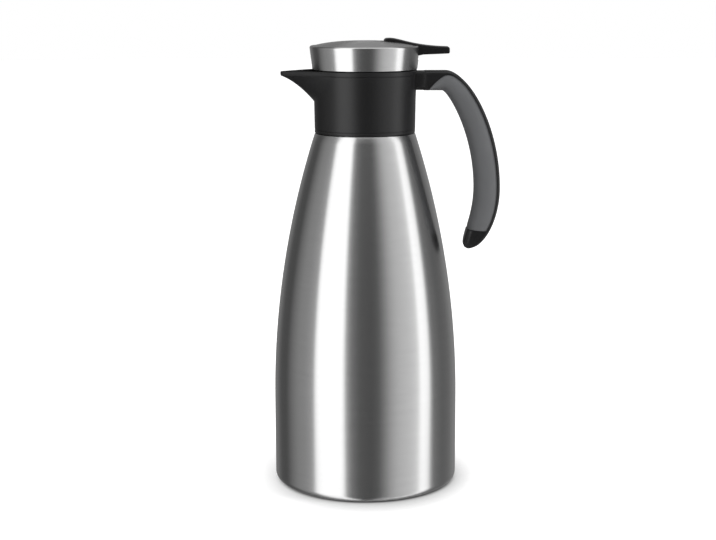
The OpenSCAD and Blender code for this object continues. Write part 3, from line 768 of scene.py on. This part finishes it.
class JUG_OT_handle(bpy.types.Operator):
    """Makes the hard handle and its soft grip"""

    bl_idname = "jug.handle"
    bl_label = "Handle"

    STEP = 0.35             # places along the handle, as HandleLine counts them
    GRIP_START = 0.52
    GRIP_END = 2.5
    NEAR = 0.008            # from a plain section to the next one in the grip's bed
    RAMP = 0.015            # from one side of the root's small step to the other, and of the tip's rounding
    ROOT_SCALE = 0.97
    TIP_SCALES = ((0.007, 0.9), (0.002, 0.7), (0, 0.4))     # distance to the end, and scale of the section
    CORE_LEVELS = 70
    TIP_LEVELS = 16
    GRIP_LEVELS = 80
    GAP = 0.05 * MM         # between the grip and its bed

    def execute(self, context):
        s = context.scene.jug_handle
        line = HandleLine(s, context.scene.jug_collar.rim_radius)
        core = bmesh.new()
        add_loft(core, self.core_rings(line))
        piece("handle_moulding", core, "jug", FINISHES["plastic"], ["handle_core"], sharp=50)
        grip = bmesh.new()
        add_loft(grip, self.grip_rings(line))
        piece("grip_moulding", grip, "jug", FINISHES["grip"], ["soft_grip"], sharp=50)
        return {"FINISHED"}

    def grip_room(self, line, t):
        """How deep the grip lies on the section at t, and how thick it is."""
        depth = line.grip_depth(t)
        return depth, min(line.s.grip, 0.6 * depth)

    def core_half(self, line, t, gripped):
        """Half of the hard core's section, with or without the grip's bed."""
        depth = line.depth(t)
        side = line.width(t) / 2
        outer = min(2.0 * MM, depth / 3, side / 2)
        cover = 0
        inner = min(4 * MM, depth / 3, side / 2)
        step = (depth * 0.4, depth * 0.5)
        if gripped:
            bed, cover = self.grip_room(line, t)
            inner = min(2 * MM, (bed - cover) / 2)
            step = (bed, bed)
        half = corner_points(cover, side - cover, inner, -1)
        half += [(step[0], side - cover), (step[1], side)]
        return half + corner_points(depth, side, outer, 1)

    def core_rings(self, line):
        """Sections of the core: the root with its small step, the grip's bed, and the rounded tail."""
        start, end = self.GRIP_START, self.GRIP_END
        first, last = end + self.NEAR, line.END - self.RAMP
        root = [(t, self.ROOT_SCALE) for t in (0, 0.15, self.STEP - self.RAMP)]
        root += [(self.STEP - self.NEAR, 0.974), (self.STEP, 0.99), (self.STEP + self.RAMP, 1)]
        root += [(start - self.NEAR, 1)]
        bed = [start + (end - start) * i / self.CORE_LEVELS for i in range(self.CORE_LEVELS + 1)]
        tail = [(first + (last - first) * i / self.TIP_LEVELS, 1) for i in range(self.TIP_LEVELS + 1)]
        tail += [(line.END - left, scale) for left, scale in self.TIP_SCALES]
        sections = [(t, False, scale) for t, scale in root] + [(t, True, 1) for t in bed]
        sections += [(t, False, scale) for t, scale in tail]
        rings = []
        for t, gripped, scale in sections:
            rings.append(line.place(t, mirrored(self.core_half(line, t, gripped)), scale))
        return rings

    def grip_half(self, line, t, swell):
        """Half of the grip's section: round towards the fingers, falling off a little to the strip."""
        side = line.width(t) / 2 + swell
        bed, cover = self.grip_room(line, t)
        edge = bed - self.GAP
        crown = 0.66 * bed
        fall = min(0.9 * MM, 0.08 * bed)
        turns = [pi / 2 * i / 20 for i in range(1, 21)]
        half = [(crown - (crown + swell) * cos(a) ** 0.85, side * sin(a) ** 0.85) for a in turns]
        half += [(crown + (edge - crown) * u, side - fall * u * u) for u in (0.3, 0.6, 0.85, 0.97)]
        web = line.width(t) / 2 - cover + self.GAP
        half += [(edge, side - fall * 1.35), (edge, web)]
        return half + corner_points(cover - self.GAP, web, min(2 * MM, (bed - cover) / 2), -1, 4)[::-1]

    def grip_rings(self, line):
        """Sections of the grip, which thins out at both ends."""
        rings = []
        for i in range(self.GRIP_LEVELS + 1):
            u = i / self.GRIP_LEVELS
            t = self.GRIP_START + (self.GRIP_END - self.GRIP_START) * u
            swell = line.s.proud * min(1, 0.2 + 10 * u, 0.2 + 20 * (1 - u))
            rings.append(line.place(t, mirrored(self.grip_half(line, t, swell))))
        return rings


# Lid.


class JUG_OT_cap(bpy.types.Operator):
    """Makes the steel cap with its slot"""

    bl_idname = "jug.cap"
    bl_label = "Steel cap"

    LAP = 0.53 * MM         # how far the foot laps down over the deck's lip
    LIP_PLAY = 0.13 * MM    # from the foot's outside in to its inside there
    DOME_STEPS = 26
    SIDE_STEPS = 12

    def execute(self, context):
        s = context.scene.jug_lid
        bm = bmesh.new()
        add_lathe(bm, self.profile(s), closed=False, steps=180)
        self.cut_slot(bm, s)
        bmesh.ops.recalc_face_normals(bm, faces=bm.faces)
        bmesh.ops.solidify(bm, geom=bm.faces[:], thickness=s.wall)
        self.open_foot(bm, s)
        piece("cap_pressing", bm, "lid", FINISHES["steel"], ["lid_cap"], sharp=50)
        return {"FINISHED"}

    def profile(self, s):
        """The flared side, the rounded shoulder and the domed top."""
        dome_radius = s.low_radius + s.flare - s.edge
        dome_low = s.top - s.dome
        edge_middle = (dome_radius, dome_low - s.edge + 0.3 * MM)
        rise = edge_middle[1] - s.low
        heights = [0, self.LAP - 0.03 * MM, self.LAP + 0.03 * MM]
        heights += [rise * k / self.SIDE_STEPS for k in range(1, self.SIDE_STEPS + 1)]
        profile = [(s.low_radius + s.flare * z / rise, s.low + z) for z in heights]
        profile += arc_points(edge_middle, s.edge, 14, 78, 6)
        for i in range(self.DOME_STEPS + 1):
            r = (dome_radius - 0.6 * MM) * (1 - i / self.DOME_STEPS)
            profile.append((r, dome_low + s.dome * (1 - (r / dome_radius) ** 2.8)))
        return profile

    def open_foot(self, bm, s):
        """Thins the foot of the wall where it laps over the deck's lip."""
        lip = s.low_radius - self.LIP_PLAY
        for vert in bm.verts:
            r = sqrt(vert.co.x ** 2 + vert.co.y ** 2)
            if vert.co.z < s.low + self.LAP and r < lip:
                vert.co.x *= lip / r
                vert.co.y *= lip / r

    def cut_slot(self, bm, s):
        """Takes out the slot for the lever, from the top down into the side."""
        half = s.slot_width / 2
        sides = [((0, half, 0), (0, 1, 0)), ((0, -half, 0), (0, -1, 0))]
        ends = [((s.slot, 0, 0), (1, 0, 0)), ((0, 0, s.notch), (0, 0, 1))]
        for place, normal in sides + ends:
            geom = bm.verts[:] + bm.edges[:] + bm.faces[:]
            bmesh.ops.bisect_plane(bm, geom=geom, plane_co=place, plane_no=normal, dist=1e-6)
        gone = []
        for face in bm.faces:
            x, y, z = face.calc_center_median()
            if x > s.slot and abs(y) < half and z > s.notch:
                gone.append(face)
        bmesh.ops.delete(bm, geom=gone, context="FACES")


class JUG_OT_lever(bpy.types.Operator):
    """Makes the press lever"""

    bl_idname = "jug.lever"
    bl_label = "Lever"

    NOSE_RADIUS = 2.05 * MM
    NOSE_PLACE = (-9.4 * MM, -0.4 * MM)     # from the pivot, and from the cap's crown
    END_TOP = 3.95 * MM                     # the outer end's two edges, below the cap's crown
    END_LOW = 8.45 * MM
    TOP_ROUND = 1.5 * MM
    LOW_ROUND = 1.1 * MM
    BOSS = 3.4 * MM                         # the underside round the pivot
    ARM_HALF = 2.4 * MM                     # half the height of the arm inside the cap
    ARM_END = -4.4 * MM

    def execute(self, context):
        s = context.scene.jug_lid
        bm = bmesh.new()
        verts = [bm.verts.new((x, -s.lever_width / 2, z)) for x, z in self.outline(s)]
        side = bm.faces.new(verts)
        grown = bmesh.ops.extrude_face_region(bm, geom=[side])
        moved = [v for v in grown["geom"] if isinstance(v, bmesh.types.BMVert)]
        bmesh.ops.translate(bm, verts=moved, vec=(0, s.lever_width, 0))
        bmesh.ops.recalc_face_normals(bm, faces=bm.faces)
        rims = [e for e in bm.edges if abs(e.verts[0].co.y - e.verts[1].co.y) < 1e-6]
        bmesh.ops.bevel(
            bm, geom=rims, offset=s.lever_bevel, offset_type="OFFSET", affect="EDGES", segments=4,
            profile=0.5, material=-1, clamp_overlap=True
        )
        piece("lever_moulding", bm, "lever", FINISHES["lever"], ["lever"], sharp=40)
        return {"FINISHED"}

    def outline(self, s):
        """The lever from the side: nose, back, blunt end, underside and the fork's arm."""
        nose = (s.pivot_x + self.NOSE_PLACE[0], s.top + self.NOSE_PLACE[1])
        nose_top = nose[1] + self.NOSE_RADIUS
        end = s.lever_reach
        top, low = s.top - self.END_TOP, s.top - self.END_LOW
        back_end = end - self.TOP_ROUND
        back = [(nose[0], nose_top), (nose[0] + 7.6 * MM, nose_top + 0.95 * MM)]
        back += [(end - 27.2 * MM, top + 0.7 * MM), (back_end, top)]
        top_corner = (back_end, top - self.TOP_ROUND)
        low_corner = (end - self.LOW_ROUND, low + self.LOW_ROUND)
        points = arc_points(nose, self.NOSE_RADIUS, 180, 90, 8)[:-1]
        points += [tuple(curve_point(back, i / 24)) for i in range(25)]
        points += arc_points(top_corner, self.TOP_ROUND, 90, 0, 6)[1:]
        points += arc_points(low_corner, self.LOW_ROUND, 0, -85, 5)
        points += [(s.low_radius + s.flare + 2 * MM, low - 0.65 * MM), (s.pivot_x + 4 * MM, low - 2.85 * MM)]
        arm_low, arm_top = s.pivot_z - self.ARM_HALF, s.pivot_z + self.ARM_HALF
        points += [(s.pivot_x, s.pivot_z - self.BOSS), (s.pivot_x - self.BOSS, arm_low)]
        points += [(self.ARM_END, arm_low), (self.ARM_END, arm_top), (nose[0] - self.NOSE_RADIUS, arm_top)]
        return points


class JUG_OT_stopper(bpy.types.Operator):
    """Finishes the stopper, its valve and its spring"""

    bl_idname = "jug.stopper"
    bl_label = "Stopper"

    def execute(self, context):
        s = context.scene.jug_lid
        for node in ("lid_body", "stopper_cup", "valve_plug"):
            dress(node, FINISHES["plastic"])
        for node in ("lid_seal", "stem_seal", "valve_seal"):
            dress(node, FINISHES["silicone"])
        for node in ("lever_pin", "valve_stem", "stem_pin"):
            dress(node, FINISHES["vessel"])
        self.make_spring(s)
        return {"FINISHED"}

    def make_spring(self, s):
        """The spring from end to end of its solid."""
        low, high = (corner[2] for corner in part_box("valve_spring"))
        bm = bmesh.new()
        add_helix(bm, s.coil, s.wire, low + s.wire, high - s.wire, s.turns, sides=8, per_turn=28)
        spring = piece("closing_spring", bm, "lid", FINISHES["vessel"], ["valve_spring"])
        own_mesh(spring)


# Stage.


# Brightness of the cards round the jug, by angle. Zero is in front, and 90 degrees to the right.
SURROUND = (
    (-180, 0.26), (-150, 0.20), (-136, 0.10), (-119, 0.09), (-106, 0.23), (-94, 0.32), (-84, 0.34),
    (-74, 0.42), (-68, 0.5), (-66, 1.7), (-28, 1.7), (-25.5, 0.42), (-18, 0.2), (-8, 0.115), (8, 0.09),
    (17, 0.12), (26, 0.3), (34, 0.5), (42, 0.63), (61, 0.78), (70.5, 0.92), (72.5, 1.6), (87.5, 1.6),
    (89.5, 0.6), (94, 0.22), (113, 0.14), (128, 0.16), (150, 0.26), (180, 0.26),
)
WHITE = (1, 1, 1, 1)


class JUG_OT_stage(bpy.types.Operator):
    """Sets up the camera, the floor, the lights and the reflections"""

    bl_idname = "jug.stage"
    bl_label = "Stage"

    AIM = (-4.9 * MM, 0, 145.3 * MM)
    DISTANCE = 1047.6 * MM
    PITCH = 10.6
    ROLL = -0.15
    FOCAL_PIXELS = 1534.3
    FRAME_PIXELS = 716
    FLOOR_RADIUS = 6
    SHADOW_REACH = 0.045                # how near a wall darkens the floor
    LIGHT_SIDE = (0.82, -0.30, 0.48)    # where the world is brightest
    LIGHT_LEVEL = 0.58
    LIGHT_RISE = 0.5                    # what is added there, and taken off on the other side
    CARD_RADIUS = 40
    CARD_LOW = -60
    CARD_FADE = -22                     # below this height the cards are dimmer
    CARD_HIGH = 60
    LAMPS = {                           # place, size and power
        "Key": ((1.9, -0.5, 0.8), 0.8, 30),
        "Fill": ((-1.2, -1.3, 1.0), 1.0, 7),
    }

    def execute(self, context):
        scene = context.scene
        scene.view_settings.view_transform = "Standard"
        self.make_camera(scene)
        self.make_world(scene)
        self.make_floor(scene)
        self.make_surround(scene)
        for name, (place, size, power) in self.LAMPS.items():
            self.make_lamp(scene, name, place, size, power)
        return {"FINISHED"}

    def make_camera(self, scene):
        """The camera in front of the jug and a little above it."""
        data = bpy.data.cameras.new("Camera")
        data.sensor_width = 36
        data.lens = self.FOCAL_PIXELS * data.sensor_width / self.FRAME_PIXELS
        camera = bpy.data.objects.new("Camera", data)
        pitch = radians(self.PITCH)
        camera.location = Vector(self.AIM) + self.DISTANCE * Vector((0, -cos(pitch), sin(pitch)))
        turned = Matrix.Rotation(pi / 2 - pitch, 3, "X") @ Matrix.Rotation(radians(self.ROLL), 3, "Z")
        camera.rotation_euler = turned.to_euler()
        scene.collection.objects.link(camera)
        scene.camera = camera

    def make_world(self, scene):
        """White to the eye, and on surfaces a plain light that is a little stronger from one side."""
        world = bpy.data.worlds.new("Studio")
        scene.world = world
        world.use_nodes = True
        world.node_tree.nodes.clear()
        nodes = Nodes(world.node_tree)
        aim = nodes.value("ShaderNodeTexCoord", output="Generated")
        settings = {"operation": "DOT_PRODUCT"}
        side = nodes.value("ShaderNodeVectorMath", settings, {0: aim, 1: self.LIGHT_SIDE}, "Value")
        level = side * self.LIGHT_RISE + self.LIGHT_LEVEL
        lit = nodes.value("ShaderNodeBackground", (), {"Color": WHITE, "Strength": level})
        plain = nodes.value("ShaderNodeBackground", (), {"Color": WHITE, "Strength": 1})
        mix = nodes.value("ShaderNodeMixShader", (), {0: nodes.seen(), 1: lit, 2: plain})
        nodes.node("ShaderNodeOutputWorld", (), {0: mix})

    def stage_piece(self, scene, name, bm, finish):
        """An object of the stage, which is no part of the jug."""
        mesh = bpy.data.meshes.new(name)
        bm.to_mesh(mesh)
        bm.free()
        obj = bpy.data.objects.new(name, mesh)
        scene.collection.objects.link(obj)
        mesh.materials.append(finish.material)
        return obj

    def make_floor(self, scene):
        """A white floor with the soft shadow where the jug stands, deepest a little to the right of it."""
        bm = bmesh.new()
        bmesh.ops.create_circle(bm, cap_ends=True, segments=96, radius=self.FLOOR_RADIUS)
        paint = Finish("Floor white", Roughness=0.9, Specular_IOR_Level=0.1, Emission_Strength=0.55)
        inputs = {"Distance": self.SHADOW_REACH}
        near = paint.value("ShaderNodeAmbientOcclusion", {"samples": 8}, inputs, "AO")
        x = paint.place()[0]
        shade = near ** paint.math("MAXIMUM", 0.05, 1.4 + x * 6.0 - x * x * 160) * 0.92
        paint.set("Base Color", shade)
        paint.set("Emission Color", shade * paint.seen())
        floor = self.stage_piece(scene, "Floor", bm, paint)
        floor.visible_glossy = False

    def make_surround(self, scene):
        """A far wall that only the reflections see: dark cards with bright gaps between them."""
        heights = (self.CARD_LOW, self.CARD_FADE, self.CARD_HIGH)
        bm = bmesh.new()
        profile = [(0.5, self.CARD_LOW)] + [(self.CARD_RADIUS, z) for z in heights]
        add_lathe(bm, profile, closed=False, steps=96)
        card = Finish("Cards")
        x, y, z = card.place()
        low = card.math("MINIMUM", 1, card.math("MAXIMUM", 0.86, 1 + (z - self.CARD_FADE) / 12))
        turn = card.math("ARCTAN2", x, 0 - y) / (2 * pi) + 0.5
        ramp = card.node("ShaderNodeValToRGB", (), {0: turn})
        stops = ramp.color_ramp.elements
        for i, (angle, level) in enumerate(SURROUND):
            place = (angle + 180) / 360
            stop = stops[i] if i < 2 else stops.new(place)
            stop.position = place
            stop.color = (level, level, level, 1)
        glow = card.value("ShaderNodeEmission", (), {0: Value(card, ramp.outputs[0]), 1: low})
        card.feed(card.tree.nodes["Material Output"].inputs["Surface"], glow)
        cards = self.stage_piece(scene, "Surround", bm, card)
        for ray in ("camera", "diffuse", "transmission", "volume_scatter", "shadow"):
            setattr(cards, "visible_" + ray, False)

    def make_lamp(self, scene, name, place, size, power):
        """A soft lamp aimed at the jug, which the reflections don't show."""
        data = bpy.data.lights.new(name, "AREA")
        data.size = size
        data.energy = power
        lamp = bpy.data.objects.new(name, data)
        lamp.location = place
        aim = Vector(self.AIM) - Vector(place)
        lamp.rotation_euler = aim.to_track_quat("-Z", "Y").to_euler()
        lamp.visible_glossy = False
        scene.collection.objects.link(lamp)


class JUG_PT_panel(bpy.types.Panel):
    """Lists the jug's steps and sizes"""

    bl_idname = "JUG_PT_panel"
    bl_label = "Vacuum Jug"
    bl_space_type = "VIEW_3D"
    bl_region_type = "UI"
    bl_category = "Jug"

    def draw(self, context):
        for operator in STEPS:
            self.layout.operator(operator.bl_idname)
        for name, group in GROUPS.items():
            box = self.layout.box()
            box.label(text=group.__doc__)
            for prop in group.__annotations__:
                box.prop(getattr(context.scene, name), prop)


GROUPS = {
    "jug_body": BodySizes,
    "jug_collar": CollarSizes,
    "jug_handle": HandleSizes,
    "jug_lid": LidSizes,
    "jug_colours": Colours,
}
STEPS = (
    JUG_OT_stage, JUG_OT_finishes, JUG_OT_body, JUG_OT_collar, JUG_OT_handle, JUG_OT_cap, JUG_OT_lever,
    JUG_OT_stopper,
)


def register():
    for cls in (*GROUPS.values(), *STEPS, JUG_PT_panel):
        bpy.utils.register_class(cls)
    for name, group in GROUPS.items():
        setattr(bpy.types.Scene, name, PointerProperty(type=group))


def unregister():
    for name in GROUPS:
        delattr(bpy.types.Scene, name)
    for cls in (JUG_PT_panel, *reversed(STEPS), *reversed(GROUPS.values())):
        bpy.utils.unregister_class(cls)


def main():
    register()
    bpy.ops.jug.stage()
    bpy.ops.jug.finishes()
    bpy.ops.jug.body()
    bpy.ops.jug.collar()
    bpy.ops.jug.handle()
    bpy.ops.jug.cap()
    bpy.ops.jug.lever()
    bpy.ops.jug.stopper()


if __name__ == "__main__":
    main()
